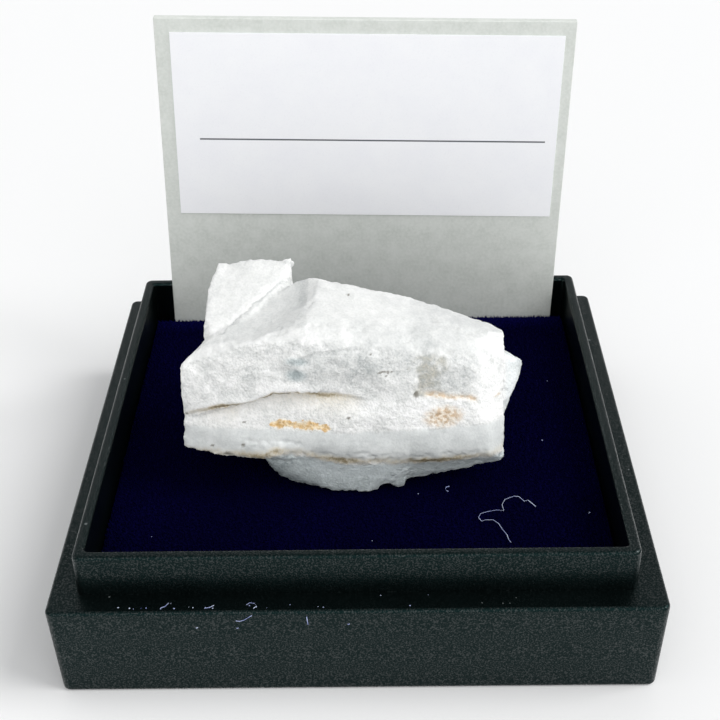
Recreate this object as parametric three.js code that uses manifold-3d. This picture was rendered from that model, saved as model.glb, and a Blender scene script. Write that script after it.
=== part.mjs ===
// A chunk of white vein quartz with gold, lying on a velvet pad in a black display base,
// with a grey card and a paper label standing behind it.
// Millimetres. Origin at the bottom centre of the base, front towards -Y, +Z up.
import * as THREE from 'three';
import { ConvexGeometry } from 'three/addons/geometries/ConvexGeometry.js';
import { LoftGeometry } from 'three/addons/geometries/LoftGeometry.js';
import { mergeVertices } from 'three/addons/utils/BufferGeometryUtils.js';
import Module from 'manifold-3d';

// Base tray: a lower block with a ledge, and a thinner rim standing on it
const baseSide = 60;
const ledgeHeight = 10.7;
const wallDraft = 0.45;
const baseCornerRadius = 0.8;
const rimSide = 54.6;
const rimHeight = 4.6;
const rimWall = 1.15;
const rimCornerRadius = 0.8;
const edgeRound = 0.4;
const floorTop = 8;
const skin = 1.7;

// Velvet pad: fills the recess in front of the card
const padTop = 11;
const padGap = 0.2;
const padEdgeRound = 0.4;

// Card and label: the card stands just inside the rear rim, a little crooked, on its right lower corner.
// Heights on them are measured up the card from the floor of the recess
const cardWidth = 48.3;
const cardTop = 41.9;
const cardThickness = 1;
const cardTurn = THREE.MathUtils.degToRad(1.45);
const cardOffCentre = 0.3;
const cardBackGap = 0.15;
const cardSlotGap = 0.25;
const cardCornerRadius = 0.35;
const labelWidth = 45.3;
const labelHeight = 22.9;
const labelTopMargin = 1.65;
const labelThickness = 0.15;
const labelOffCentre = 0.25;

// Stone: how finely its facets are divided, how much its surface undulates, and how far off centre it lies
const stoneEdge = 2.4;
const swell = 0.16;
const swellLength = 4.5;
const ripple = 0.07;
const rippleLength = 1.9;
const stoneAside = 0.2;
const stoneBack = 0.4;

const recessHalf = rimSide / 2 - rimWall;
const rimTop = ledgeHeight + rimHeight;
const cardBack = recessHalf - cardBackGap;
const cardFace = cardBack - cardThickness;

const wasm = await Module();
wasm.setup();

// A closed geometry as a body that can be joined and cut
function body(geometry) {
  const plain = new THREE.BufferGeometry();
  plain.setAttribute('position', geometry.attributes.position);
  plain.setIndex(geometry.index);
  const welded = mergeVertices(plain, 1e-5);
  const mesh = new wasm.Mesh({
    numProp: 3,
    vertProperties: new Float32Array(welded.attributes.position.array),
    triVerts: new Uint32Array(welded.index.array),
  });
  mesh.merge();
  return new wasm.Manifold(mesh);
}

// A joined body back as a geometry
function geometryOf(solid) {
  const mesh = solid.getMesh();
  const geometry = new THREE.BufferGeometry();
  const points = [];
  for (let i = 0; i < mesh.numVert; i++) {
    points.push(...mesh.vertProperties.slice(i * mesh.numProp, i * mesh.numProp + 3));
  }
  geometry.setAttribute('position', new THREE.Float32BufferAttribute(points, 3));
  geometry.setIndex(Array.from(mesh.triVerts));
  return geometry;
}

function part(name, geometry, look) {
  const shown = geometry.index ? geometry.toNonIndexed() : geometry;
  shown.computeVertexNormals();
  const mesh = new THREE.Mesh(shown, new THREE.MeshStandardMaterial(look));
  mesh.name = name;
  return mesh;
}

// One level outline of the tray: a square with round corners
function squareRing(half, cornerRadius, z) {
  const steps = 6;
  const centre = half - cornerRadius;
  const ring = [];
  for (let corner = 0; corner < 4; corner++) {
    const start = corner * Math.PI / 2;
    const cx = centre * Math.sign(Math.cos(start + Math.PI / 4));
    const cy = centre * Math.sign(Math.sin(start + Math.PI / 4));
    for (let i = 0; i <= steps; i++) {
      const angle = start + i / steps * Math.PI / 2;
      const x = cx + cornerRadius * Math.cos(angle);
      const y = cy + cornerRadius * Math.sin(angle);
      ring.push(new THREE.Vector3(x, y, z));
    }
  }
  return ring;
}

// The level outlines of a rounded edge, from the steep side up over on to the flat
function roundedEdge(half, cornerRadius, top, radius) {
  const steps = 4;
  const rings = [];
  for (let i = 0; i <= steps; i++) {
    const angle = i / steps * Math.PI / 2;
    const inset = radius * (1 - Math.cos(angle));
    rings.push(squareRing(half - inset, cornerRadius - inset, top - radius + radius * Math.sin(angle)));
  }
  return rings;
}

function loft(rings) {
  return body(new LoftGeometry(rings, { capStart: true, capEnd: true }));
}

function trayGeometry() {
  const footHalf = baseSide / 2 - wallDraft;
  const footRound = 0.3;
  const outside = loft([
    squareRing(footHalf - footRound, baseCornerRadius - footRound, 0),
    squareRing(footHalf, baseCornerRadius, footRound),
    ...roundedEdge(baseSide / 2, baseCornerRadius, ledgeHeight, edgeRound),
    squareRing(rimSide / 2, rimCornerRadius, ledgeHeight),
    ...roundedEdge(rimSide / 2, rimCornerRadius, rimTop, edgeRound),
  ]);
  const innerRound = 0.35;
  const innerCorner = rimCornerRadius - rimWall / 2;
  const flare = 0.9;
  const recess = loft([
    squareRing(recessHalf, innerCorner, floorTop),
    squareRing(recessHalf, innerCorner, rimTop - innerRound),
    squareRing(recessHalf + innerRound * 0.3, innerCorner + innerRound * 0.3, rimTop - innerRound * 0.3),
    squareRing(recessHalf + innerRound, innerCorner + innerRound, rimTop),
    squareRing(recessHalf + flare, innerCorner + flare, rimTop + 1),
  ]);
  const hollow = loft([
    squareRing(footHalf - skin, baseCornerRadius, -1),
    squareRing(footHalf - skin - 0.3, baseCornerRadius, floorTop - skin),
  ]);
  return geometryOf(outside.subtract(recess).subtract(hollow));
}

// A rectangle with round corners, centred on x, from one y to another
function plate(width, from, to, radius) {
  const half = width / 2;
  const shape = new THREE.Shape();
  shape.moveTo(half, from + radius);
  shape.lineTo(half, to - radius);
  shape.absarc(half - radius, to - radius, radius, 0, Math.PI / 2);
  shape.lineTo(-half + radius, to);
  shape.absarc(-half + radius, to - radius, radius, Math.PI / 2, Math.PI);
  shape.lineTo(-half, from + radius);
  shape.absarc(-half + radius, from + radius, radius, Math.PI, Math.PI * 1.5);
  shape.lineTo(half - radius, from);
  shape.absarc(half - radius, from + radius, radius, Math.PI * 1.5, Math.PI * 2);
  return shape;
}

function padGeometry() {
  const width = 2 * (recessHalf - padGap - padEdgeRound);
  const front = -recessHalf + padGap + padEdgeRound;
  const back = cardFace - cardSlotGap - padEdgeRound;
  const pad = new THREE.ExtrudeGeometry(plate(width, front, back, 0.2), {
    depth: padTop - floorTop - 2 * padEdgeRound,
    bevelSize: padEdgeRound,
    bevelThickness: padEdgeRound,
    bevelSegments: 3,
    curveSegments: 3,
  });
  return pad.translate(0, 0, floorTop + padEdgeRound);
}

// A thin upright sheet, its face towards the front
function sheetGeometry(width, bottom, top, thickness, radius) {
  const sheet = new THREE.ExtrudeGeometry(plate(width, bottom, top, radius), {
    depth: thickness,
    bevelEnabled: false,
    curveSegments: 4,
  });
  return sheet.rotateX(Math.PI / 2);
}

// Repeatable value noise: a smooth blend of hashed lattice values, from -1 to 1
function lattice(i, j, k) {
  const h = Math.sin(i * 127.1 + j * 311.7 + k * 74.7) * 43758.5453;
  return 2 * (h - Math.floor(h)) - 1;
}

function noise(p, length) {
  const at = p.clone().divideScalar(length);
  const cell = at.clone().floor();
  const t = at.sub(cell);
  const ease = [t.x, t.y, t.z].map((v) => v * v * (3 - 2 * v));
  let sum = 0;
  for (let corner = 0; corner < 8; corner++) {
    const bit = [corner & 1, corner >> 1 & 1, corner >> 2 & 1];
    const weight = bit.reduce((w, b, axis) => w * (b ? ease[axis] : 1 - ease[axis]), 1);
    sum += weight * lattice(cell.x + bit[0], cell.y + bit[1], cell.z + bit[2]);
  }
  return sum;
}

// Splits every edge longer than the limit at its middle, until none is left
function divide(geometry, limit) {
  const points = [];
  const position = geometry.attributes.position;
  for (let i = 0; i < position.count; i++) {
    points.push(new THREE.Vector3().fromBufferAttribute(position, i));
  }
  let faces = [];
  const index = geometry.index.array;
  for (let i = 0; i < index.length; i += 3) {
    faces.push([index[i], index[i + 1], index[i + 2]]);
  }
  let split = true;
  while (split) {
    split = false;
    const middles = new Map();
    const middle = (a, b) => {
      if (points[a].distanceTo(points[b]) <= limit) return -1;
      const key = a < b ? `${a} ${b}` : `${b} ${a}`;
      if (!middles.has(key)) {
        middles.set(key, points.length);
        points.push(points[a].clone().add(points[b]).multiplyScalar(0.5));
      }
      return middles.get(key);
    };
    const next = [];
    for (const face of faces) {
      const mids = face.map((a, n) => middle(a, face[(n + 1) % 3]));
      const count = mids.filter((m) => m >= 0).length;
      if (count === 0) {
        next.push(face);
        continue;
      }
      split = true;
      if (count === 3) {
        const [a, b, c] = face;
        const [ab, bc, ca] = mids;
        next.push([a, ab, ca], [ab, b, bc], [ca, bc, c], [ab, bc, ca]);
        continue;
      }
      // Turn the corners so that the first edge is split, and with two splits the last is not
      let turn = mids.findIndex((m) => m >= 0);
      if (count === 2) turn = (mids.findIndex((m) => m < 0) + 1) % 3;
      const [a, b, c] = [0, 1, 2].map((n) => face[(n + turn) % 3]);
      const [ab, bc] = [0, 1].map((n) => mids[(n + turn) % 3]);
      if (count === 1) {
        next.push([a, ab, c], [ab, b, c]);
      } else {
        next.push([ab, b, bc], [a, ab, bc], [a, bc, c]);
      }
    }
    faces = next;
  }
  return { points, faces };
}

// Undulates the divided facets, and flattens what would sink into the velvet
function weather({ points, faces }) {
  const normals = points.map(() => new THREE.Vector3());
  for (const [a, b, c] of faces) {
    const ab = points[b].clone().sub(points[a]);
    const ac = points[c].clone().sub(points[a]);
    const across = ab.cross(ac);
    for (const corner of [a, b, c]) normals[corner].add(across);
  }
  const moved = points.map((p, i) => {
    const height = swell * noise(p, swellLength) + ripple * noise(p, rippleLength);
    const q = p.clone().addScaledVector(normals[i].normalize(), height);
    q.z = Math.max(q.z, padTop);
    return q;
  });
  const geometry = new THREE.BufferGeometry().setFromPoints(moved);
  geometry.setIndex(faces.flat());
  return geometry;
}

function chunk(corners) {
  return body(new ConvexGeometry(corners.map((c) => new THREE.Vector3(...c))));
}

// A hollow left by a broken flake: an egg shape, turned, that is cut away
function scar(centre, radii, turn) {
  const egg = new THREE.SphereGeometry(1, 28, 18);
  egg.scale(...radii);
  egg.rotateY(turn[1]);
  egg.rotateZ(turn[2]);
  egg.translate(...centre);
  return body(egg);
}

function stoneGeometry() {
  // The main slab: a front face that leans back, a blunt ridge, and a top that rises to the rear
  const slab = chunk([
    [-18.4, -11.6, 16.4], [-12.4, -12.7, 15.7], [-9.4, -13.1, 16.5], [-1.4, -13.5, 16.3],
    [5.6, -13.3, 15.9], [13.8, -12.2, 15.7], [15.3, -11.2, 14.2],
    [-18.2, -9.6, 25.5], [-16.8, -8.6, 26.6], [-16, -7.5, 27],
    [-10.7, -9.6, 28], [-5.3, -10, 28.3], [-0.8, -10.1, 27.6], [6.3, -9.9, 26.4], [11.5, -9.3, 25.8],
    [-10.4, -8.4, 28.7], [-5.3, -8.6, 29.5], [-0.8, -8.2, 29.1], [6.3, -7, 28.3], [11.5, -6.8, 27.5],
    [15.3, -7.2, 25.6], [15.3, -5.6, 26.6],
    [-5.4, -1, 31], [-1.1, -1, 29.9], [5.3, -1.5, 28.6], [9, -2, 27.3], [13.9, -3.2, 26.4], [15.3, -4.5, 26.3],
    [-16, 2.5, 15], [-14.5, 4, 22], [-5, 4.6, 25], [3, 4, 24], [10.5, 2.4, 21.5], [12, 2.8, 14.5],
    [-4, 5.2, 16], [5, 4.7, 15],
  ]);
  // The block that stands up at the rear left, its bright face tipped to the front
  const block = chunk([
    [-14.9, 1.8, 31.3], [-11.6, 2, 31.5], [-8.2, 2, 31.2], [-7.1, 1.7, 31],
    [-15.8, -1, 29.8], [-16, -4.5, 28.2], [-16.2, -6.3, 26.6], [-14.8, -7, 27], [-11, -4.3, 28.4],
    [-9.8, -1.6, 29.4], [-7.2, 0.5, 30],
    [-10.4, -4.8, 27.2], [-8.9, -2, 27.4], [-6.8, 0.6, 28],
    [-14.6, 3.2, 28], [-7.6, 3.6, 27.6], [-15, 3.4, 20], [-8, 4, 20],
  ]);
  // A small knob at the block's upper right corner
  const knob = chunk([
    [-8.3, 1.6, 31.1], [-7.8, 1.7, 31.7], [-7.1, 1.8, 31.7], [-6.7, 2, 31], [-7.1, 2.4, 29.6], [-8, 2.6, 29.8],
    [-7.5, 0.9, 30],
  ]);
  // A thin corner that sticks out at the right
  const corner = chunk([
    [15, -6.4, 24.6], [15.8, -4.2, 23.4], [17.7, -3.9, 22], [17.8, -3.2, 21.2], [16.3, -5.2, 19],
    [15.4, -7.6, 17.2], [11, -3, 23], [11, -2, 16], [13.5, 1, 20],
  ]);
  // The lower part, undercut at the front, that the stone lies on, and its shallower right end
  const bulge = chunk([
    [-10, -12.3, 15.6], [-1.4, -13.1, 16.4], [5.5, -12.9, 16], [-9.6, -11.7, 14.2], [-8.7, -11.3, 12.7],
    [-6.9, -11.4, 11.6], [-4.6, -11.7, 11.3], [-3, -12.3, 11], [1, -12.4, 11], [4.8, -11.5, 11],
    [-9, 2, 11], [6, 1.5, 11], [-12, 3, 14], [8, 3, 14],
  ]);
  const heel = chunk([
    [4.5, -12.9, 15.8], [14, -11.5, 15.4], [15.1, -10.8, 14.2], [15.2, -10.5, 13.5],
    [5, -11.2, 11.6], [7.3, -10.8, 11.9], [11.1, -10.9, 12.8],
    [5, 1, 12], [11, 1, 13.5],
  ]);
  // The upper half of the front face hangs over the lower half by a thin ledge along an arch
  const underLedge = chunk([
    [-18.8, -16, 19.4], [-13.8, -16, 21], [-8.5, -16, 22.6], [-5, -16, 23], [-0.8, -16, 22.8], [1.7, -16, 22.2],
    [-18.8, -11, 19.4], [-13.8, -10.6, 21], [-8.5, -10.6, 22.6], [-5, -10.8, 23], [-0.8, -11.1, 22.8],
    [1.7, -11.8, 22.2], [-17, -12, 17.4], [-8.5, -13.1, 18], [0, -13.4, 18], [-17, -16, 17], [0, -16, 18],
  ]);
  // At the right a hollow ends below in a small shelf
  const overShelf = chunk([
    [5.4, -16, 22.7], [12.8, -16, 21.9], [6, -10.9, 22.5], [9, -10.6, 22.2], [12.3, -10.6, 22],
    [6.6, -9.9, 26.6], [11.2, -9.2, 26.2], [6, -16, 27], [12, -16, 27],
  ]);
  const flakeOnTop = scar([-9, -4.4, 31.1], [8.6, 4.5, 2.6], [0, -0.28, 0.72]);
  const shellOnFace = scar([-0.4, -18.65, 25.2], [18, 8, 8], [0, 0.06, 0]);
  const nickBelow = scar([2.9, -12.4, 10.9], [0.8, 2.4, 0.8], [0, 0, 0]);
  const broken = slab.subtract(flakeOnTop).add(bulge).add(heel).add(corner).add(block).add(knob);
  const faced = broken.subtract(underLedge).subtract(overShelf).subtract(shellOnFace);
  return weather(divide(geometryOf(faced.subtract(nickBelow)), stoneEdge));
}

const group = new THREE.Group();
group.add(part('base_tray', trayGeometry(), { color: 0x2a2a2c, roughness: 0.55, metalness: 0 }));
group.add(part('velvet_pad', padGeometry(), { color: 0x07071f, roughness: 1, metalness: 0 }));

const upright = new THREE.Group();
upright.position.set(cardOffCentre, cardBack, floorTop);
upright.rotation.y = cardTurn;
group.add(upright);

const cardFoot = cardWidth / 2 * Math.tan(cardTurn) + 0.05;
upright.add(part('label_card', sheetGeometry(cardWidth, cardFoot, cardTop, cardThickness, cardCornerRadius), {
  color: 0xb3b5ad,
  roughness: 0.8,
  metalness: 0,
}));

const labelTop = cardTop - labelTopMargin;
const label = part('paper_label', sheetGeometry(labelWidth, labelTop - labelHeight, labelTop, labelThickness, 0.2), {
  color: 0xe6e5f0,
  roughness: 0.9,
  metalness: 0,
});
label.position.set(labelOffCentre, -cardThickness, 0);
upright.add(label);

const stone = part('quartz_stone', stoneGeometry(), { color: 0xf0efec, roughness: 0.45, metalness: 0 });
stone.position.set(stoneAside, stoneBack, 0);
group.add(stone);

export default group;
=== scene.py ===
import math

import bmesh
import bpy
import numpy as np
from mathutils import Matrix, Vector, kdtree, noise
from mathutils.bvhtree import BVHTree


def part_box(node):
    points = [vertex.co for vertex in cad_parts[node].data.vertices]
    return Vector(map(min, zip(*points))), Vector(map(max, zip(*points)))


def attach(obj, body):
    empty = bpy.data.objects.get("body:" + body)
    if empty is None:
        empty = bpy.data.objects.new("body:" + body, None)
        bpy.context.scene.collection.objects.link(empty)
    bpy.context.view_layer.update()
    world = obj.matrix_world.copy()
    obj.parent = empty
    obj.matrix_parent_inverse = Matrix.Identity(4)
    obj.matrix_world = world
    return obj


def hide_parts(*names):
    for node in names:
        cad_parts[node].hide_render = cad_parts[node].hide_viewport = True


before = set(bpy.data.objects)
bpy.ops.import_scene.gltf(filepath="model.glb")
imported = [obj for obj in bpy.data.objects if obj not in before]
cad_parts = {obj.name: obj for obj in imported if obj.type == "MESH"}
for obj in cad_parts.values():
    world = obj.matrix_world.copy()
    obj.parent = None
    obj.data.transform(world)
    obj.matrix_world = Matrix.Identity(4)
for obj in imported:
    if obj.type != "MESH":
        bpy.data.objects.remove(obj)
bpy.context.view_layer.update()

# Base tray: the stepped display base that holds everything, one hollow moulding in black polystyrene.
# The mould leaves a fine pebble grain, softly rounded edges and a raised rim round a shallow recess.
mm = 0.001
tray_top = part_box("base_tray")[1]
recess_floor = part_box("velvet_pad")[0].z
ledge_half = tray_top.x
ledge_height = 10.7 * mm
foot_half = ledge_half - 0.45 * mm
rim_half = 27.3 * mm
recess_half = 26.15 * mm
skin = 1.7 * mm
outer_corner = 0.8 * mm
inner_corner = 0.5 * mm
edge_round = 0.38 * mm


def level_square(bm, half, corner):
    """Adds a level square face with round corners at height zero."""
    bmesh.ops.create_grid(bm, x_segments=1, y_segments=1, size=half)
    bmesh.ops.bevel(bm, geom=bm.verts[:], offset=corner, offset_type="OFFSET", segments=6,
                    profile=0.5, affect="VERTICES", material=-1)
    return bm.faces[:][0]


def grow(bm, face, old, new):
    """Extrudes a level square face from one half width, corner and height to the next."""
    made = bmesh.ops.extrude_discrete_faces(bm, faces=[face])["faces"][0]
    for vert in made.verts:
        for axis in (0, 1):
            arc = (abs(vert.co[axis]) - old[0] + old[1]) / old[1]
            vert.co[axis] = math.copysign(new[0] - new[1] + arc * new[1], vert.co[axis])
        vert.co.z = new[2]
    return made


def new_piece(name, bm, material):
    """Turns a bmesh into a smooth shaded piece that rides on the one body of this object."""
    mesh = bpy.data.meshes.new(name)
    bm.to_mesh(mesh)
    bm.free()
    mesh.shade_smooth()
    piece = bpy.data.objects.new(name, mesh)
    bpy.context.scene.collection.objects.link(piece)
    piece.data.materials.append(material)
    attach(piece, "root")
    return piece


def round_edges(bm, radius, segments):
    """Rounds every outer edge where two faces meet at a clear angle, and leaves the inner ones sharp."""
    sharp = [edge for edge in bm.edges if edge.is_convex and edge.calc_face_angle() > 0.9]
    bmesh.ops.bevel(bm, geom=sharp, offset=radius, offset_type="OFFSET", segments=segments,
                    profile=0.5, affect="EDGES", material=-1, clamp_overlap=True)
    for edge in bm.edges:
        edge.smooth = edge.calc_face_angle() < 0.9


def add_node(tree, kind, sockets, **options):
    """Adds a shader node, sets its options, and sets or links each named socket."""
    made = tree.nodes.new("ShaderNode" + kind)
    for option, value in options.items():
        setattr(made, option, value)
    for socket, value in sockets.items():
        if isinstance(value, bpy.types.NodeSocket):
            tree.links.new(value, made.inputs[socket])
        else:
            made.inputs[socket].default_value = value
    return made


def mixed(tree, amount, first, second):
    """Blends two colours."""
    return add_node(tree, "Mix", {0: amount, 6: first, 7: second}, data_type="RGBA").outputs[2]


def ranged(tree, value, low, high, to_low=0.0, to_high=1.0):
    """Maps a value from one range to another, held at both ends."""
    sockets = {0: value, 1: low, 2: high, 3: to_low, 4: to_high}
    return add_node(tree, "MapRange", sockets).outputs[0]


def maths(tree, operation, first, second):
    """One step of arithmetic."""
    return add_node(tree, "Math", {0: first, 1: second}, operation=operation).outputs[0]


def new_material(name):
    """A node material: its tree, its main shader and its object coordinates."""
    material = bpy.data.materials.new(name)
    material.use_nodes = True
    tree = material.node_tree
    place = add_node(tree, "TexCoord", {}).outputs["Object"]
    return material, tree, tree.nodes["Principled BSDF"], place


def new_group(name, inputs, outputs):
    """An empty shader group with named inputs and float outputs."""
    tree = bpy.data.node_groups.new(name, "ShaderNodeTree")
    for label, kind in inputs.items():
        tree.interface.new_socket(label, in_out="INPUT", socket_type="NodeSocket" + kind)
    for label in outputs:
        tree.interface.new_socket(label, in_out="OUTPUT", socket_type="NodeSocketFloat")
    return tree, tree.nodes.new("NodeGroupInput"), tree.nodes.new("NodeGroupOutput")


# Grain: a fine and a broad noise, each from 0 to 1, with their sizes given as counts per metre
grain, given, result = new_group("grain", {"Place": "Vector", "Fine": "Float", "Broad": "Float"},
                                 ["Fine", "Broad"])
for label, detail in (("Fine", 2.0), ("Broad", 4.0)):
    sockets = {"Vector": given.outputs["Place"], "Scale": given.outputs[label], "Detail": detail}
    speckle = add_node(grain, "TexNoise", sockets).outputs["Fac"]
    grain.links.new(ranged(grain, speckle, 0.3, 0.7), result.inputs[label])

# Specks: scattered dots, of which a share of the cells holds one, each of its own size
specks, given, result = new_group(
    "specks", {"Place": "Vector", "Density": "Float", "Share": "Float", "Size": "Float"}, ["Mask"])
cells = add_node(specks, "TexVoronoi", {"Vector": given.outputs["Place"], "Scale": given.outputs["Density"]})
chance = add_node(specks, "SeparateColor", {0: cells.outputs["Color"]})
held = maths(specks, "LESS_THAN", chance.outputs[0], given.outputs["Share"])
reach = maths(specks, "MULTIPLY", chance.outputs[1], given.outputs["Size"])
near = maths(specks, "LESS_THAN", cells.outputs["Distance"], reach)
specks.links.new(maths(specks, "MULTIPLY", held, near), result.inputs["Mask"])


def use_group(tree, group, sockets):
    """Places a shader group in a material with its own values."""
    return add_node(tree, "Group", sockets, node_tree=group).outputs


black_plastic, tree, shader, place = new_material("black_plastic")
pebble = use_group(tree, grain, {"Place": place, "Fine": 6200.0, "Broad": 160.0})
body_colour = mixed(tree, pebble["Broad"], (0.0006, 0.0010, 0.0010, 1), (0.0012, 0.0018, 0.0018, 1))
facing = add_node(tree, "SeparateXYZ", {0: add_node(tree, "NewGeometry", {}).outputs["Normal"]}).outputs["Z"]
dust = use_group(tree, specks, {"Place": place, "Density": 1500.0, "Share": 0.02, "Size": 0.28})["Mask"]
dust = maths(tree, "MULTIPLY", dust, ranged(tree, facing, 0.6, 0.9))
tree.links.new(mixed(tree, dust, body_colour, (0.10, 0.11, 0.11, 1)), shader.inputs["Base Color"])
tree.links.new(ranged(tree, pebble["Broad"], 0.0, 1.0, 0.30, 0.38), shader.inputs["Roughness"])
tree.links.new(ranged(tree, pebble["Fine"], 0.45, 0.95, 0.0, 1.0), shader.inputs["Coat Weight"])
shader.inputs["Coat Roughness"].default_value = 0.26
shader.inputs["Coat IOR"].default_value = 1.5
shader.inputs["Specular IOR Level"].default_value = 0.17
shader.inputs["Specular Tint"].default_value = (0.35, 1.0, 1.0, 1)
pebble_bump = add_node(tree, "Bump", {"Strength": 0.35, "Distance": 0.03 * mm, "Height": pebble["Fine"]})
tree.links.new(pebble_bump.outputs[0], shader.inputs["Normal"])

# Half width, corner radius and height of each level outline, up the outside and down into the recess
outside = [(foot_half, outer_corner, 0), (ledge_half, outer_corner, ledge_height),
           (rim_half, outer_corner, ledge_height), (rim_half, outer_corner, tray_top.z),
           (recess_half, inner_corner, tray_top.z), (recess_half, inner_corner, recess_floor)]
hollow = [(foot_half, outer_corner, 0), (foot_half - skin, outer_corner, 0),
          (foot_half - skin - 0.3 * mm, outer_corner, recess_floor - skin)]
bm = bmesh.new()
for levels in (outside, hollow):
    bottom = bmesh.new()
    face = level_square(bottom, foot_half, outer_corner)
    for old, new in zip(levels, levels[1:]):
        face = grow(bottom, face, old, new)
    half_mesh = bpy.data.meshes.new("tray_half")
    bottom.to_mesh(half_mesh)
    bottom.free()
    bm.from_mesh(half_mesh)
    bpy.data.meshes.remove(half_mesh)
bmesh.ops.remove_doubles(bm, verts=bm.verts[:], dist=0.001 * mm)
bmesh.ops.recalc_face_normals(bm, faces=bm.faces[:])
round_edges(bm, edge_round, 4)
tray = new_piece("display_base", bm, black_plastic)
tray.modifiers.new("even_shading", "WEIGHTED_NORMAL").keep_sharp = True
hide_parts("base_tray")

# Velvet pad: a thin board wrapped in navy velvet, pressed into the recess in front of the card.
# The pile is short tufts that stand nearly upright and are pressed down where the stone lies.
pad_low, pad_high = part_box("velvet_pad")
pile_height = 0.4 * mm
board_top = pad_high.z - 0.32 * mm
board_round = 0.5 * mm
tuft_gap = 0.236 * mm
tuft_radius = 0.14 * mm
root_depth = 0.06 * mm
stone_gap = 0.06 * mm
shortest_tuft = 0.08 * mm

navy_velvet, tree, shader, place = new_material("navy_velvet")
nap = use_group(tree, grain, {"Place": place, "Fine": 3000.0, "Broad": 110.0})
dyed = mixed(tree, nap["Fine"], (0.0007, 0.0005, 0.0150, 1), (0.0014, 0.0010, 0.0290, 1))
nap_and_card_glow = mixed(tree, ranged(tree, nap["Broad"], 0.35, 0.75), dyed, (0.0009, 0.0007, 0.0185, 1))
# Painted light: the velvet is painted a brighter blue towards its rear edge, in place of the light that the pale
# card throws onto the pile.
card_glow = ranged(tree, add_node(tree, "SeparateXYZ", {0: place}).outputs["Y"], 21.5 * mm, 24.6 * mm, 0.0, 0.8)
nap_and_card_glow = mixed(tree, card_glow, nap_and_card_glow, (0.0030, 0.0026, 0.0600, 1))
lint_dots = use_group(tree, specks, {"Place": place, "Density": 900.0, "Share": 0.006, "Size": 0.22})["Mask"]
tree.links.new(mixed(tree, lint_dots, nap_and_card_glow, (0.10, 0.10, 0.16, 1)), shader.inputs["Base Color"])
tree.links.new(ranged(tree, nap["Fine"], 0.0, 1.0, 0.88, 1.0), shader.inputs["Roughness"])
shader.inputs["Specular IOR Level"].default_value = 0.02
shader.inputs["Sheen Weight"].default_value = 0.04
shader.inputs["Sheen Roughness"].default_value = 0.4
shader.inputs["Sheen Tint"].default_value = (0.05, 0.04, 0.5, 1)

bm = bmesh.new()
bmesh.ops.create_cube(bm, size=1)
board_size = (pad_high.x - pad_low.x, pad_high.y - pad_low.y, board_top - pad_low.z)
bmesh.ops.scale(bm, verts=bm.verts[:], vec=board_size)
middle = (pad_low + pad_high) / 2
bmesh.ops.translate(bm, verts=bm.verts[:], vec=(middle.x, middle.y, (pad_low.z + board_top) / 2))
round_edges(bm, board_round, 5)
pad = new_piece("velvet_board", bm, navy_velvet)
pad.modifiers.new("even_shading", "WEIGHTED_NORMAL").keep_sharp = True
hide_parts("velvet_pad")

# Each tuft is a three-sided spike with its root sunk in the board
rng = np.random.default_rng(5)
inset = board_round * 0.6
columns = np.arange(pad_low.x + inset, pad_high.x - inset, tuft_gap)
rows = np.arange(pad_low.y + inset, pad_high.y - inset, tuft_gap)
roots = np.stack(np.meshgrid(columns, rows), -1).reshape(-1, 2)
roots += rng.uniform(-0.45, 0.45, roots.shape) * tuft_gap
stone_shape = BVHTree.FromObject(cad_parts["quartz_stone"], bpy.context.evaluated_depsgraph_get())
heights = pile_height * rng.uniform(0.75, 1.0, len(roots))
for i, (x, y) in enumerate(roots):
    gap = stone_shape.ray_cast(Vector((x, y, board_top)), Vector((0, 0, 1)), 2 * mm)[3]
    if gap is not None:
        heights[i] = max(min(heights[i], gap - stone_gap), shortest_tuft)
turn = rng.uniform(0, 2 * math.pi, len(roots))
lean = rng.normal(0, 0.07 * mm, roots.shape) + np.array([-0.05, -0.03]) * mm
corners = []
for third in range(3):
    angle = turn + third * 2 * math.pi / 3
    foot_ring = roots + tuft_radius * np.stack([np.cos(angle), np.sin(angle)], -1)
    corners.append(np.column_stack([foot_ring, np.full(len(roots), board_top - root_depth)]))
corners.append(np.column_stack([roots + lean, board_top + heights - root_depth]))
points = np.stack(corners, 1).reshape(-1, 3)
spike = np.array([[0, 1, 3], [1, 2, 3], [2, 0, 3], [2, 1, 0]])
triangles = (np.arange(len(roots))[:, None, None] * 4 + spike).reshape(-1, 3)
pile_mesh = bpy.data.meshes.new("velvet_pile")
pile_mesh.from_pydata(points.tolist(), [], triangles.tolist())
pile_mesh.materials.append(navy_velvet)
pile = bpy.data.objects.new("velvet_pile", pile_mesh)
bpy.context.scene.collection.objects.link(pile)
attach(pile, "root")

# Label card: an upright plate of grey mounting board, stood in the slot between pad and rear rim.
# It is cut from a sheet, so its edges are square with only a trace of rounding.
card_low, card_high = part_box("label_card")
card_turn = math.radians(1.45)
card_half = 24.15 * mm
card_foot = 0.66 * mm
card_height = 41.9 * mm
card_round = 0.12 * mm
card_pivot = Vector((0.3 * mm, card_high.y, recess_floor))

grey_card, tree, shader, place = new_material("grey_card")
fibre = use_group(tree, grain, {"Place": place, "Fine": 2600.0, "Broad": 620.0})
pulp = mixed(tree, fibre["Broad"], (0.60, 0.63, 0.59, 1), (0.69, 0.715, 0.68, 1))
flecked = mixed(tree, ranged(tree, fibre["Fine"], 0.2, 1.0, 0.0, 0.5), pulp, (0.76, 0.78, 0.75, 1))
tree.links.new(flecked, shader.inputs["Base Color"])
tree.links.new(ranged(tree, fibre["Fine"], 0.0, 1.0, 0.72, 0.88), shader.inputs["Roughness"])
shader.inputs["Specular IOR Level"].default_value = 0.25
card_bump = add_node(tree, "Bump", {"Strength": 0.3, "Distance": 0.02 * mm, "Height": fibre["Fine"]})
tree.links.new(card_bump.outputs[0], shader.inputs["Normal"])


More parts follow.
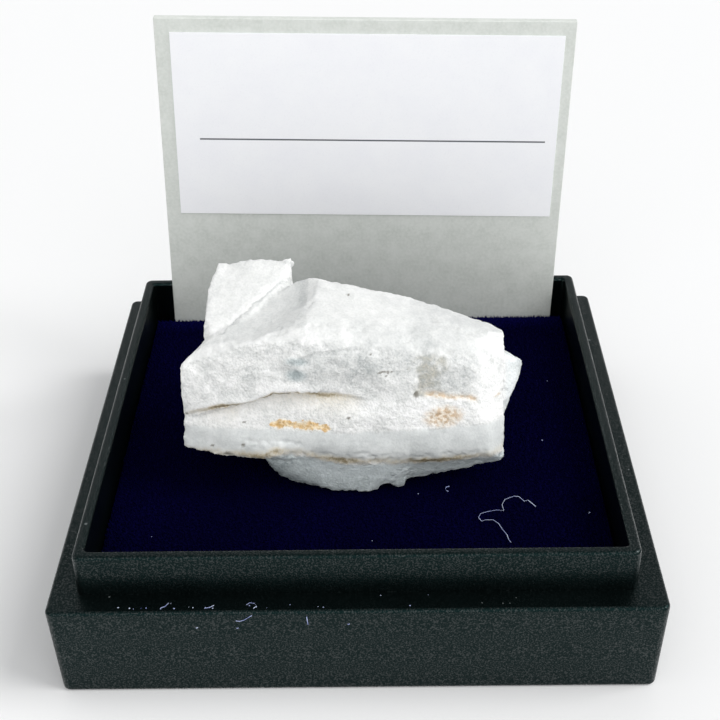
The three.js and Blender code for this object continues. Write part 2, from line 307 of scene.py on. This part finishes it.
def flat_sheet(low, high, radius, segments):
    """A cuboid between two corners with its edges slightly rounded."""
    bm = bmesh.new()
    bmesh.ops.create_cube(bm, size=1)
    bmesh.ops.scale(bm, verts=bm.verts[:], vec=high - low)
    bmesh.ops.translate(bm, verts=bm.verts[:], vec=(low + high) / 2)
    round_edges(bm, radius, segments)
    return bm


def stand_crooked(bm):
    """Sets a sheet made level on the pivot upright in the slot, turned as the card is."""
    bmesh.ops.rotate(bm, verts=bm.verts[:], cent=(0, 0, 0), matrix=Matrix.Rotation(card_turn, 3, "Y"))
    bmesh.ops.translate(bm, verts=bm.verts[:], vec=card_pivot)
    return bm


card_thickness = card_high.y - card_low.y
plate = flat_sheet(Vector((-card_half, -card_thickness, card_foot)), Vector((card_half, 0, card_height)),
                   card_round, 3)
card = new_piece("label_card_plate", stand_crooked(plate), grey_card)
card.modifiers.new("even_shading", "WEIGHTED_NORMAL").keep_sharp = True
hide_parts("label_card")

# Paper label: cool white paper glued to the card, a little off square.
# It is cut from a printed sheet, and one thin dark rule divides its two bare fields.
label_low, label_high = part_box("paper_label")
label_thickness = label_high.y - label_low.y
label_half = 22.65 * mm
label_aside = 0.25 * mm
label_top = card_height - 1.65 * mm
label_bottom = label_top - 22.9 * mm
label_round = 0.03 * mm
rule_aside = 1.0 * mm
rule_height = 27.2 * mm
rule_half_length = 20.55 * mm
rule_half_width = 0.12 * mm

white_paper, tree, shader, place = new_material("white_paper")
on_card = add_node(tree, "VectorRotate", {"Vector": place, "Center": card_pivot, "Axis": (0, 1, 0),
                                          "Angle": -card_turn}).outputs[0]
sheet_axes = add_node(tree, "SeparateXYZ", {0: on_card}).outputs
off_rule = maths(tree, "ABSOLUTE", maths(tree, "SUBTRACT", sheet_axes["Z"], card_pivot.z + rule_height), 0.0)
off_middle = maths(tree, "ABSOLUTE", maths(tree, "SUBTRACT", sheet_axes["X"], card_pivot.x + rule_aside), 0.0)
ink = maths(tree, "MULTIPLY", ranged(tree, off_rule, rule_half_width * 0.6, rule_half_width, 1.0, 0.0),
            maths(tree, "LESS_THAN", off_middle, rule_half_length))
paper_fibre = use_group(tree, grain, {"Place": place, "Fine": 5200.0, "Broad": 300.0})
sheet_colour = mixed(tree, paper_fibre["Broad"], (0.90, 0.905, 0.935, 1), (0.925, 0.93, 0.95, 1))
fleck = ranged(tree, paper_fibre["Fine"], 0.6, 1.0, 0.0, 0.12)
sheet_colour = mixed(tree, fleck, sheet_colour, (0.7, 0.71, 0.76, 1))
tree.links.new(mixed(tree, ink, sheet_colour, (0.10, 0.11, 0.12, 1)), shader.inputs["Base Color"])
tree.links.new(ranged(tree, paper_fibre["Fine"], 0.0, 1.0, 0.55, 0.7), shader.inputs["Roughness"])
shader.inputs["Specular IOR Level"].default_value = 0.35
paper_bump = add_node(tree, "Bump", {"Strength": 0.15, "Distance": 0.01 * mm, "Height": paper_fibre["Fine"]})
tree.links.new(paper_bump.outputs[0], shader.inputs["Normal"])

sheet = flat_sheet(Vector((label_aside - label_half, -card_thickness - label_thickness, label_bottom)),
                   Vector((label_aside + label_half, -card_thickness, label_top)), label_round, 2)
label = new_piece("specimen_label", stand_crooked(sheet), white_paper)
label.modifiers.new("even_shading", "WEIGHTED_NORMAL").keep_sharp = True
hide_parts("paper_label")

# Quartz stone: one broken chunk of milky vein quartz with thin sheets of native gold and rusty seams.
# It lies loose on the velvet. Its fracture faces follow the solid, with finer flakes, seams and sugar grain.
voxel = 0.19 * mm
crisp_angle = 0.55
crisp_reach = 0.5
soften_steps = 26
blunt_steps = 120
stone_shift = np.array((0.2, 0.4, 0.0))
flake_seed = 5
noise.seed_set(flake_seed)

solid = bmesh.new()
solid.from_mesh(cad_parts["quartz_stone"].data)
bmesh.ops.remove_doubles(solid, verts=solid.verts[:], dist=0.001 * mm)
crisp_points = []
for edge in solid.edges:
    if edge.is_manifold and edge.calc_face_angle() > crisp_angle:
        start, end = (vert.co for vert in edge.verts)
        steps = max(1, math.ceil(edge.calc_length() / (0.25 * mm)))
        crisp_points += [start.lerp(end, i / steps) / mm for i in range(steps + 1)]
crisp_tree = kdtree.KDTree(len(crisp_points))
for i, point in enumerate(crisp_points):
    crisp_tree.insert(point, i)
crisp_tree.balance()

rough_mesh = bpy.data.meshes.new("rough_stone")
solid.to_mesh(rough_mesh)
solid.free()
rough = bpy.data.objects.new("rough_stone", rough_mesh)
bpy.context.scene.collection.objects.link(rough)
refine = rough.modifiers.new("fine_mesh", "REMESH")
refine.mode = "VOXEL"
refine.voxel_size = voxel
fine_mesh = bpy.data.meshes.new_from_object(rough.evaluated_get(bpy.context.evaluated_depsgraph_get()))
bpy.data.objects.remove(rough)
bpy.data.meshes.remove(rough_mesh)

# The flat facets are smoothed into one another, while the vertices near a crisp edge stay.
# The right part of the ridge between top and front is worn blunt, and so are the dish and the foot line.
bm = bmesh.new()
bm.from_mesh(fine_mesh)
edge_gap = np.array([crisp_tree.find(vert.co / mm)[2] for vert in bm.verts])
px, py, pz = (np.array([vert.co for vert in bm.verts]) / mm - stone_shift).T
blunt = (px > -4) & (px < 13.5) & (py < -5) & (py > -10.7) & (pz > 24.6)
blunt |= (px > -9) & (px < -3.4) & (py < -4.2) & (py > -9.6) & (pz > 26.8)
blunt |= (px > -8.0) & (px < 13.5) & (py < -8.5) & (pz > 13.7) & (pz < 17.4)
bm.verts.ensure_lookup_table()
soft = [vert for vert, gap, worn in zip(bm.verts, edge_gap, blunt) if gap > crisp_reach or worn]
worn_away = [vert for vert, worn in zip(bm.verts, blunt) if worn]
for some, steps in ((soft, soften_steps), (worn_away, blunt_steps), (bm.verts[:], 1)):
    for _ in range(steps):
        bmesh.ops.smooth_vert(bm, verts=some, factor=0.5, use_axis_x=True, use_axis_y=True, use_axis_z=True)
bm.normal_update()
points = np.array([vert.co for vert in bm.verts]) / mm - stone_shift
normals = np.array([vert.normal for vert in bm.verts])
px, py, pz = points.T


def bumps(size, shift=0.0):
    """Smooth noise from about -1 to 1 at every point of the stone."""
    return np.array([noise.noise(Vector(p) / size + Vector((shift, shift, shift))) for p in points])


def flakes(size, shift=0.0):
    """Small tilted planes, one to each cell, as a hackly fracture has."""
    heights = []
    for p in points:
        at = Vector(p) / size + Vector((shift, shift, shift))
        centre = noise.voronoi(at)[1][0]
        tilt = noise.noise_vector(centre * 7.3)
        heights.append((at - centre).dot(tilt))
    return np.array(heights)


def smooth_step(value, low, high):
    """Eases from 0 at low to 1 at high."""
    t = np.clip((value - low) / (high - low), 0, 1)
    return t * t * (3 - 2 * t)


def spot(x, z, half_x, half_z):
    """A soft round patch on the front face, from 1 at its middle to 0 at its rim."""
    return front * smooth_step(1 - np.hypot((px - x) / half_x, (pz - z) / half_z), 0.0, 0.7)


def between(value, low, high, fade):
    """1 between two limits, fading to 0 past them."""
    return smooth_step(value, low - fade, low) * smooth_step(-value, -high - fade, -high)


def along(pairs):
    """A value given at a few places along the stone, from left to right."""
    return np.interp(px, *np.array(pairs).T)


front = smooth_step(-normals[:, 1], 0.15, 0.5) * smooth_step(-py, 4.0, 6.0)
upward = smooth_step(normals[:, 2], 0.45, 0.8)
wander = bumps(1.1, 3.0)
wiggle = bumps(0.45, 9.0)
grit = bumps(0.32, 4.0)

# Lip along the front, foot line under which the stone is set back, shell-shaped step, crease of the dish,
# rusty seam and gold seam: heights above each line, or distances from it
lip = pz - along([(-17.8, 20.4), (-15.8, 21.0), (-13.9, 21.5), (-12.0, 21.6), (-10.0, 22.2), (-8.7, 22.8),
                  (-6.0, 23.0), (-3.9, 22.6), (-0.9, 22.4), (2.0, 22.1)]) + 0.12 * wander + 0.07 * wiggle
foot = pz - along([(-13.0, 15.9), (-9.9, 15.9), (-8.4, 16.5), (-6.2, 16.3), (-3.7, 15.6), (-1.2, 15.2),
                   (0.2, 15.0), (2.4, 15.2), (6.0, 14.9), (9.3, 14.8), (14.4, 15.4)])
foot = foot + 0.20 * wander + 0.12 * wiggle
shell = pz - along([(-7.1, 25.9), (-6.6, 26.2), (-5.5, 26.9), (-4.1, 27.3), (-0.8, 27.5)]) + 0.05 * wiggle
crease = along([(-13.9, -6.9), (-12.8, -5.0), (-11.7, -4.1), (-9.8, -2.1), (-8.7, -1.1), (-7.2, 0.4)])
crease = crease - py + 0.3 * wander + 0.15 * wiggle
rust_line = pz - along([(7.1, 22.5), (8.2, 22.3), (10.0, 22.0), (11.2, 21.8), (12.5, 21.4)]) + 0.15 * wander
gold_line = pz - along([(-9.2, 19.4), (-8.1, 19.6), (-6.6, 19.45), (-4.8, 19.5), (-2.9, 19.35)])
on_lip = along([(-18.4, 0.0), (-15.5, 0.4), (-14, 0.9), (-12.3, 0.8), (-11.5, 0.15), (-10.5, 0.3),
                (-9.6, 0.8), (-8.5, 0.8), (-6, 0.7), (-3, 0.5), (-1, 0.25), (0.5, 0.0)]) * front
on_shell = between(px, -7.1, -0.8, 0.4) * front
on_rust = between(px, 7.2, 12.0, 0.6) * front
dish = upward * between(px, -14.5, -5.2, 0.15) * between(py, -8.0, 2.0, 0.6) * smooth_step(crease, 0.0, 0.15)
sugar = front * smooth_step(pz, 18.8, 19.3) * smooth_step(-lip, 0.0, 0.4)
glassy = front * smooth_step(-pz + 0.2 * wander + 0.12 * wiggle, -19.1, -18.75) * smooth_step(foot, 0.0, 0.4)
below = smooth_step(-foot, -0.1, 0.4) * smooth_step(px, -11.0, -10.0) * smooth_step(-py, 2.0, 5.0)

hackle = (1 + 0.7 * front * smooth_step(-px, -2, 2) * smooth_step(pz, 22, 23)
          - 0.75 * glassy - 0.45 * below - 0.45 * upward)
lift = 0.11 * bumps(3.4) + 0.05 * bumps(1.3, 6.0)
lift += hackle * (0.12 * flakes(2.1, 1.0) + 0.075 * flakes(0.9, 2.0) + 0.03 * flakes(0.45, 5.0))
lift += 0.02 * grit * (1 + 2.6 * sugar) * (1 - 0.7 * glassy)
chips = 0.2 * np.maximum(bumps(1.0, 12.0), 0) + 0.22 * np.maximum(bumps(0.5, 14.0), 0)
lift -= smooth_step(-edge_gap, -0.7, -0.1) * chips
lift += on_lip * 0.13 * np.exp(-(lip - 0.4) ** 2 / 0.2) - on_lip * 0.14 * np.exp(-lip ** 2 / 0.02)
lift -= (between(px, -16.5, -0.5, 2.0) * front * 0.22
         * smooth_step(-lip, -0.05, 0.2) * smooth_step(lip, -2.4, -0.2))
lift += 0.16 * np.maximum(grit, 0) * np.exp(-(foot - 0.1) ** 2 / 0.2) * front
lift += on_shell * 0.14 * smooth_step(shell, -0.03, 0.05) * np.exp(-np.maximum(shell, 0) / 0.8)
lift -= on_rust * 0.14 * np.exp(-rust_line ** 2 / 0.04)
lift -= upward * between(px, -14.5, -7.2, 0.3) * 0.09 * np.exp(-crease ** 2 / 0.03)
past_step = px - 8.6 + (py + 2.4) * 0.53
lift -= upward * 0.10 * smooth_step(past_step, 0.0, 0.2) * np.exp(-np.maximum(past_step, 0) / 1.5)
moved = points + normals * lift[:, None] + stone_shift
moved[:, 2] = np.maximum(moved[:, 2], pad_high.z / mm)
for vert, place_now in zip(bm.verts, moved):
    vert.co = Vector(place_now) * mm

# How milky the quartz is, from 0 where it is clear and grey to 1 where it is frosted white. The same mask holds
# painted light and shade: up-facing faces a little whiter, and the bulge's bottom, the dish and its crease
# darker.
# Painted light: faces that look upward are made a little whiter, as light from above would make them.
milk_and_painted_shading = 0.66 + 0.06 * upward + 0.16 * bumps(2.6, 21.0) * (1 - 0.6 * upward) + 0.10 * flakes(1.2, 30.0)
milk_and_painted_shading += 0.22 * sugar + 0.10 * np.exp(-(lip - 0.3) ** 2 / 0.2) * front * between(px, -17.5, -1, 0.5)
milk_and_painted_shading += (0.30 * smooth_step(0.4 * wander + pz, 22.4, 22.9) * smooth_step(-pz, -24.3, -24.0)
         * between(px, -10.0, -5.4, 0.7) * front)
milk_and_painted_shading -= (0.45 * spot(-6.2, 24.9, 1.2, 0.7) + 0.40 * spot(-6.1, 26.3, 1.5, 0.5)
         + 0.20 * spot(-11.0, 25.0, 3.0, 1.2))
milk_and_painted_shading -= 0.16 * on_shell * smooth_step(-shell, 0.0, 0.1) * smooth_step(pz, 23.3, 24.5)
milk_and_painted_shading -= 0.20 * between(px + wander, 0.0, 7.0, 1.5) * between(pz, 25.4, 28.8, 1.2) * smooth_step(-py, 5.5, 8.5)
patchy = np.clip(0.75 + 1.1 * bumps(0.7, 60.0) + 0.5 * wiggle, 0.1, 1.3)
stain = (between(px + 0.9 * wander + 0.4 * wiggle, 6.4, 8.3, 0.9)
         * between(pz + 0.8 * wander, 23.2, 25.4, 1.2) * front * patchy)
milk_and_painted_shading -= (0.62 * stain
         + 0.20 * between(px + 0.5 * wander, 8.0, 11.0, 1.8) * between(pz, 22.6, 25.6, 1.2) * front)
milk_and_painted_shading += 0.24 * smooth_step(px + 0.6 * wander, 10.8, 14.0) * front * smooth_step(pz, 17.5, 20.0)
milk_and_painted_shading -= 0.08 * glassy
milk_and_painted_shading -= 0.22 * upward * smooth_step(px, 4.0, 8.0)
milk_and_painted_shading += 0.07 * front * smooth_step(-px, 6.0, 10.0) * smooth_step(pz, 22.5, 24.0)
milk_and_painted_shading -= 0.13 * glassy * between(px, 5.5, 8.0, 0.4) * smooth_step(-pz, -18.6, -18.1)
foot_milk = along([(-10, 0.08), (-8, 0.34), (-6, 0.64), (-3, 0.96), (4, 1.0), (7, 0.68), (14, 0.68)])
milk_and_painted_shading = np.where(below > 0, milk_and_painted_shading * (1 - below) + below * (foot_milk + 0.12 * bumps(1.5, 17.0)), milk_and_painted_shading)
milk_and_painted_shading += (1.4 * front * np.exp(-(foot - 0.75) ** 2 / 0.12)
         * np.maximum(bumps(0.7, 40.0) + 0.05, 0) * between(px, -8.5, 2, 0.8))
# Painted shade: the bulge under the foot line is made darker towards its bottom, where it turns down towards the
# dark velvet.
milk_and_painted_shading -= 0.25 * below * smooth_step(-pz, -13.6, -11.8)
# Painted shade: the dish on the top is made greyer, most of all near its right end, for the shade in the hollow.
milk_and_painted_shading -= dish * (0.15 + 0.28 * np.exp(-((px + 5.8) / 0.7) ** 2) * smooth_step(py, -6, -4))
milk_and_painted_shading += 0.14 * upward * between(px, -14.8, -9.6, 0.3) * between(crease, -0.9, -0.1, 0.2)
# Painted shade: a dark line along the crease at the foot of the block stands for the shadow of its edge.
milk_and_painted_shading -= 0.50 * upward * between(px, -14.2, -8.0, 0.3) * np.exp(-crease ** 2 / 0.012)

# Where thin gold, tan and rusty stain, clear quartz and dark specks lie, each from 0 to 1; the rust mask also
# carries painted shade under the lip
gold_width = along([(-9.3, 0.0), (-8.7, 0.50), (-7.8, 0.70), (-6.8, 0.42), (-6.0, 0.50), (-4.8, 0.66),
                    (-4.0, 0.36), (-3.2, 0.36), (-2.7, 0.0)])
off_gold = np.abs(gold_line + 0.14 * wander + 0.25 * flakes(0.55, 50.0))
gold = front * smooth_step(1 - off_gold / (0.02 + gold_width), 0.0, 0.9)
gold *= between(px, -9.1, -2.8, 0.1)
tan = np.maximum(spot(8.8, 20.1, 2.6, 1.4), 0.85 * on_rust * np.exp(-rust_line ** 2 / 0.06))
tan = np.maximum(tan, 0.5 * spot(14.5, 21.2, 0.5, 0.25))
lip_seam = np.exp(-np.minimum(lip, 0) ** 2 / 0.10 - np.maximum(lip, 0) ** 2 / 0.03)
rust_and_lip_shade = np.maximum(0.13 * stain, 1.25 * on_lip * lip_seam)
# Painted shade: below the overhanging lip the face is painted ochre and darker, fading downward, in place of the
# shade that the lip casts.
lip_shade = along([(-17, 0.0), (-15, 0.25), (-13, 0.4), (-12, 0.1), (-10, 0.1), (-8.5, 0.3), (-6, 0.5),
                   (-3, 0.5), (-1, 0.35), (1, 0)])
lip_shade = 0.9 * lip_shade * front * smooth_step(-lip, 0.0, 0.15) * np.exp(np.minimum(lip, 0) / 0.8)
foot_stain = along([(-13, 0.3), (-10.5, 0.6), (-8.5, 0.5), (-7, 0.2), (-3.5, 0.4), (-1.5, 0.7), (0.5, 0.3),
                    (5, 0.3), (7, 0.9), (9, 0.7), (13, 0.2)])
foot_stain = np.exp(-(foot - 0.35) ** 2 / 0.14) * front * foot_stain
rust_and_lip_shade = np.maximum(np.maximum(rust_and_lip_shade, lip_shade), foot_stain)
clear = np.maximum(0.6 * below, (0.15 * glassy + 0.5 * spot(-6.2, 24.9, 1.5, 0.9)
                                 + 0.5 * spot(-6.1, 26.3, 1.6, 0.6)))
clear = np.maximum(clear, 0.3 * smooth_step(px, 15.2, 16.0))
dark_specks = [(2.3, 24.9, 0.15, 0.10), (2.7, 25.0, 0.2, 0.10), (3.1, 24.9, 0.12, 0.10), (3.5, 25.0, 0.16, 0.09),
               (2.9, 24.6, 0.12, 0.08), (-1.0, 20.4, 0.16, 0.16), (6.0, 22.5, 0.22, 0.3), (1.4, 26.8, 0.14, 0.12),
               (-17.8, 20.2, 0.2, 0.16), (-11.8, 19.6, 0.14, 0.1), (-15.2, 17.0, 0.2, 0.12),
               (-13.6, 16.3, 0.5, 0.14), (-12.0, 17.3, 0.2, 0.12)]
speck = np.zeros(len(px))
for x, z, half_x, half_z in dark_specks:
    shape = np.hypot((px - x) / half_x, (pz - z) / half_z) + 0.5 * wiggle
    speck = np.maximum(speck, front * smooth_step(1.25 - shape, 0.0, 0.5))
speck = np.maximum(speck, upward * smooth_step(0.2 - np.hypot(px + 0.9, (py + 3.4) * 0.8), 0.0, 0.1))

milky_quartz, tree, shader, place = new_material("milky_quartz")


def mask_of(name):
    """One of the stone's own masks, read from its mesh."""
    return add_node(tree, "Attribute", {}, attribute_name=name).outputs["Fac"]


sugar_grain = use_group(tree, grain, {"Place": place, "Fine": 4200.0, "Broad": 620.0})
tone = maths(tree, "ADD", ranged(tree, sugar_grain["Broad"], 0.0, 1.0, -0.17, 0.17),
             ranged(tree, sugar_grain["Fine"], 0.0, 1.0, -0.19, 0.19))
crystals = add_node(tree, "TexVoronoi", {"Vector": place, "Scale": 1900.0}).outputs["Color"]
crystal_tone = add_node(tree, "SeparateColor", {0: crystals}).outputs[0]
tone = maths(tree, "ADD", tone, ranged(tree, crystal_tone, 0.0, 1.0, -0.13, 0.13))
tone = maths(tree, "ADD", mask_of("milk_and_painted_shading"), maths(tree, "MULTIPLY", tone, mask_of("grainy")))
# The ramp turns the milkiness, with its painted light and shade, into the quartz colour.
frost_and_shade = add_node(tree, "ValToRGB", {0: tone})
shades = frost_and_shade.color_ramp.elements
shades.new(0.35)
shades.new(0.7)
frost_colours = [(0.40, 0.425, 0.425), (0.605, 0.618, 0.610), (0.765, 0.772, 0.760), (0.89, 0.89, 0.882)]
for shade, colour in zip(shades, frost_colours):
    shade.color = (*colour, 1)
sockets = {0: mask_of("clear"), 6: frost_and_shade.outputs[0], 7: (0.84, 0.96, 1.0, 1)}
cleared = add_node(tree, "Mix", sockets, data_type="RGBA", blend_type="MULTIPLY").outputs[2]
# The rust mask turns the quartz ochre, then dark brown; besides the rusty seams it carries the painted shade
# under the lip.
rust_grain = ranged(tree, sugar_grain["Fine"], 0.1, 0.7, 0.6, 1.1)
rust_and_shade_part = maths(tree, "MULTIPLY", mask_of("rust_and_lip_shade"), rust_grain)
ochred = mixed(tree, ranged(tree, rust_and_shade_part, 0.0, 0.5, 0.0, 0.9), cleared, (0.63, 0.54, 0.37, 1))
rusted_and_shaded = mixed(tree, ranged(tree, rust_and_shade_part, 0.3, 0.75, 0.0, 0.9), ochred, (0.24, 0.195, 0.12, 1))
leaf_grain = add_node(tree, "TexNoise", {"Vector": place, "Scale": 2300.0, "Detail": 3.0}).outputs["Fac"]
tan_mask = mask_of("tan")
creamy = mixed(tree, maths(tree, "MULTIPLY", tan_mask, 0.6), rusted_and_shaded, (0.80, 0.66, 0.48, 1))
tan_part = maths(tree, "MULTIPLY", tan_mask, ranged(tree, leaf_grain, 0.46, 0.60, 0.0, 0.9))
tanned = mixed(tree, tan_part, creamy, (0.56, 0.40, 0.25, 1))
gold_mask = mask_of("gold")
glowing = mixed(tree, maths(tree, "MULTIPLY", gold_mask, 0.7), tanned, (0.88, 0.74, 0.52, 1))
gold_edge = maths(tree, "ADD", leaf_grain, maths(tree, "MULTIPLY", gold_mask, 0.5))
gold_leaf = maths(tree, "MULTIPLY", ranged(tree, gold_edge, 0.60, 0.80), ranged(tree, gold_mask, 0.04, 0.12))
gold_colour = mixed(tree, ranged(tree, leaf_grain, 0.38, 0.66), (0.90, 0.74, 0.50, 1), (0.66, 0.42, 0.17, 1))
gold_pits = ranged(tree, sugar_grain["Fine"], 0.8, 1.0, 0.0, 0.6)
gold_colour = mixed(tree, gold_pits, gold_colour, (0.38, 0.24, 0.11, 1))
gilded = mixed(tree, gold_leaf, glowing, gold_colour)
tree.links.new(mixed(tree, mask_of("speck"), gilded, (0.20, 0.19, 0.16, 1)), shader.inputs["Base Color"])
tree.links.new(maths(tree, "MULTIPLY", gold_leaf, 0.35), shader.inputs["Metallic"])
tree.links.new(ranged(tree, sugar_grain["Fine"], 0.0, 1.0, 0.32, 0.6), shader.inputs["Roughness"])
shader.inputs["IOR"].default_value = 1.54
shader.inputs["Specular IOR Level"].default_value = 0.45
shader.inputs["Subsurface Weight"].default_value = 0.35
shader.inputs["Subsurface Radius"].default_value = (1.0, 1.0, 1.05)
shader.inputs["Subsurface Scale"].default_value = 0.6 * mm
frosted = ranged(tree, mask_of("grainy"), 0.4, 1.0, 0.2, 0.7)
stone_bump = add_node(tree, "Bump", {"Strength": frosted, "Distance": 0.06 * mm,
                                     "Height": sugar_grain["Fine"]})
tree.links.new(stone_bump.outputs[0], shader.inputs["Normal"])

stone = new_piece("gold_quartz", bm, milky_quartz)
masks = {"milk_and_painted_shading": milk_and_painted_shading, "grainy": 1 - 0.5 * upward - 0.6 * glassy, "clear": clear, "gold": gold, "tan": tan,
         "rust_and_lip_shade": rust_and_lip_shade, "speck": speck}
for name, values in masks.items():
    mask = stone.data.attributes.new(name, "FLOAT", "POINT")
    mask.data.foreach_set("value", np.clip(values, 0, 1).astype(np.float32))
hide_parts("quartz_stone")
bpy.data.meshes.remove(fine_mesh)

# Lint: a stray white hair and a few crumbs of fluff that have settled on the velvet and the front ledge.
# Each is a thin bent thread that lies on what carries it.
white_lint, tree, shader, place = new_material("white_lint")
fluff = use_group(tree, grain, {"Place": place, "Fine": 6000.0, "Broad": 900.0})
fluff_colour = mixed(tree, fluff["Broad"], (0.10, 0.13, 0.42, 1), (0.70, 0.78, 0.92, 1))
tree.links.new(fluff_colour, shader.inputs["Base Color"])
tree.links.new(ranged(tree, fluff["Fine"], 0.0, 1.0, 0.6, 0.9), shader.inputs["Roughness"])


def thread(bm, points, radius):
    """Draws a thin four-sided thread through a few points."""
    ring = bmesh.ops.create_circle(bm, cap_ends=True, segments=4, radius=radius)["verts"]
    ahead = (points[1] - points[0]).normalized()
    bmesh.ops.rotate(bm, verts=ring, cent=(0, 0, 0), matrix=ahead.to_track_quat("Z", "Y").to_matrix())
    bmesh.ops.translate(bm, verts=ring, vec=points[0])
    face = ring[0].link_faces[0]
    for last, here in zip(points, points[1:]):
        made = bmesh.ops.extrude_discrete_faces(bm, faces=[face])["faces"][0]
        bmesh.ops.translate(bm, verts=made.verts[:], vec=here - last)
        face = made


hair_radius = 0.042 * mm
curl_radius = 0.07 * mm
ledge_fibre_radius = 0.04 * mm
face_fibre_radius = 0.05 * mm
hair_path = [(18.6, -14.8), (17.9, -13.7), (17.5, -13.9), (17.0, -13.1), (16.5, -13.0), (15.5, -13.5),
             (15.1, -14.4), (15.2, -15.4), (14.5, -15.3), (13.7, -15.5), (12.8, -15.8), (12.5, -16.5),
             (12.8, -17.1), (13.2, -16.9), (14.0, -16.9), (14.5, -17.5), (14.8, -18.4), (15.2, -19.3),
             (15.3, -20.0), (15.5, -20.5)]
curl_path = [(9.75, -11.2), (9.45, -11.3), (9.3, -11.6), (9.4, -11.9), (9.6, -12.1)]
ledge_fibres = [[(-18.8, -29.3), (-18.4, -29.1), (-18.1, -28.6)],
                [(-14.6, -29.4), (-14.1, -29.3), (-13.7, -29.0)],
                [(-9.9, -29.5), (-9.6, -29.2), (-9.8, -28.8), (-10.3, -28.7), (-10.6, -29.0)]]
ledge_crumbs = [(-21.4, -29.4), (-21.8, -29.3), (-22.9, -29.2), (-18.8, -29.4), (-17.9, -28.7),
                (-20.7, -29.3), (-20.2, -29.3), (-17.5, -29.4), (-16.1, -29.2), (-15.7, -29.3),
                (-14.5, -29.3), (-13.8, -29.4), (-10.3, -29.1), (-9.6, -29.3), (-8.6, -29.4),
                (-6.4, -29.0), (-3.7, -29.3), (-3.2, -29.4), (2.3, -27.8), (6.9, -27.8), (5.1, -29.3)]
pad_crumbs = [(6.4, -12.4), (24.0, -15.9), (24.05, -15.8), (23.95, -16.0), (20.5, -3.0), (-21.0, -19.0),
              (-12.5, -21.5), (1.5, -20.0), (22.4, 9.0)]
face_fibres = [[(-11.6, 9.6), (-11.2, 9.55), (-10.8, 9.7), (-10.3, 10.1), (-10.0, 10.3)],
               [(-11.6, 8.6), (-11.4, 8.65)], [(-15.5, 8.7), (-15.3, 8.75)], [(-0.9, 9.0), (-0.7, 9.05)],
               [(-4.8, 10.1), (-4.75, 9.6), (-4.7, 9.0)]]

bm = bmesh.new()
lying = pad_high.z + 0.04 * mm
thread(bm, [Vector((x * mm, y * mm, lying)) for x, y in hair_path], hair_radius)
thread(bm, [Vector((x * mm, y * mm, lying)) for x, y in curl_path], curl_radius)
for fibre_path in ledge_fibres:
    on_ledge = [Vector((x * mm, y * mm, ledge_height + 0.03 * mm)) for x, y in fibre_path]
    thread(bm, on_ledge, ledge_fibre_radius)
for crumbs, height, size in ((ledge_crumbs, ledge_height, 0.075), (pad_crumbs, pad_high.z, 0.08)):
    for x, y in crumbs:
        size_now = size * rng.uniform(0.35, 1.0) * mm
        crumb = bmesh.ops.create_icosphere(bm, subdivisions=1, radius=size_now)["verts"]
        bmesh.ops.scale(bm, verts=crumb, vec=(rng.uniform(0.7, 1.8), rng.uniform(0.6, 1.4), 0.6))
        bmesh.ops.translate(bm, verts=crumb, vec=(x * mm, y * mm, height + 0.4 * size_now))
lean_in = (ledge_half - foot_half) / ledge_height
for fibre_path in face_fibres:
    on_face = [Vector((x * mm, -foot_half - lean_in * z * mm - 0.03 * mm, z * mm)) for x, z in fibre_path]
    thread(bm, on_face, face_fibre_radius)
bmesh.ops.recalc_face_normals(bm, faces=bm.faces[:])
new_piece("lint", bm, white_lint)

# Stage: a wide pale table top, light from all round and a soft window on the right.
# The camera looks down on the front as a hand-held one does.
pale_table, tree, shader, place = new_material("pale_table")
shader.inputs["Base Color"].default_value = (0.9, 0.9, 0.9, 1)
shader.inputs["Roughness"].default_value = 0.8
bm = bmesh.new()
bmesh.ops.create_grid(bm, x_segments=1, y_segments=1, size=3.0)
floor_mesh = bpy.data.meshes.new("table_top")
bm.to_mesh(floor_mesh)
bm.free()
floor_mesh.materials.append(pale_table)
floor = bpy.data.objects.new("table_top", floor_mesh)
bpy.context.scene.collection.objects.link(floor)

world = bpy.data.worlds.new("room_light")
world.use_nodes = True
world.node_tree.nodes["Background"].inputs["Color"].default_value = (0.98, 0.99, 1.0, 1)
world.node_tree.nodes["Background"].inputs["Strength"].default_value = 0.56
bpy.context.scene.world = world
lamps = [("window", 1.8, 38, (1.0, -0.12, 1.0)), ("room", 1.15, 80, (0.1, -1.0, 0.4))]
for name, energy, spread, source in lamps:
    lamp = bpy.data.lights.new(name, "SUN")
    lamp.energy = energy
    lamp.angle = math.radians(spread)
    light = bpy.data.objects.new(name, lamp)
    light.rotation_euler = Vector(source).to_track_quat("Z", "Y").to_euler()
    bpy.context.scene.collection.objects.link(light)

bpy.context.scene.view_settings.view_transform = "Standard"
lens = bpy.data.cameras.new("camera")
lens.sensor_width = 36
lens.lens = 69.43
lens.clip_start = 0.01
camera = bpy.data.objects.new("camera", lens)
camera_place = Vector((2.28, -128.81, 101.88)) * mm
yaw, pitch, roll = (math.radians(angle) for angle in (0.858, 32.44, -1.147))
camera.matrix_world = (Matrix.Translation(camera_place) @ Matrix.Rotation(yaw, 4, "Z")
                       @ Matrix.Rotation(math.pi / 2 - pitch, 4, "X") @ Matrix.Rotation(roll, 4, "Z"))
bpy.context.scene.collection.objects.link(camera)
bpy.context.scene.camera = camera
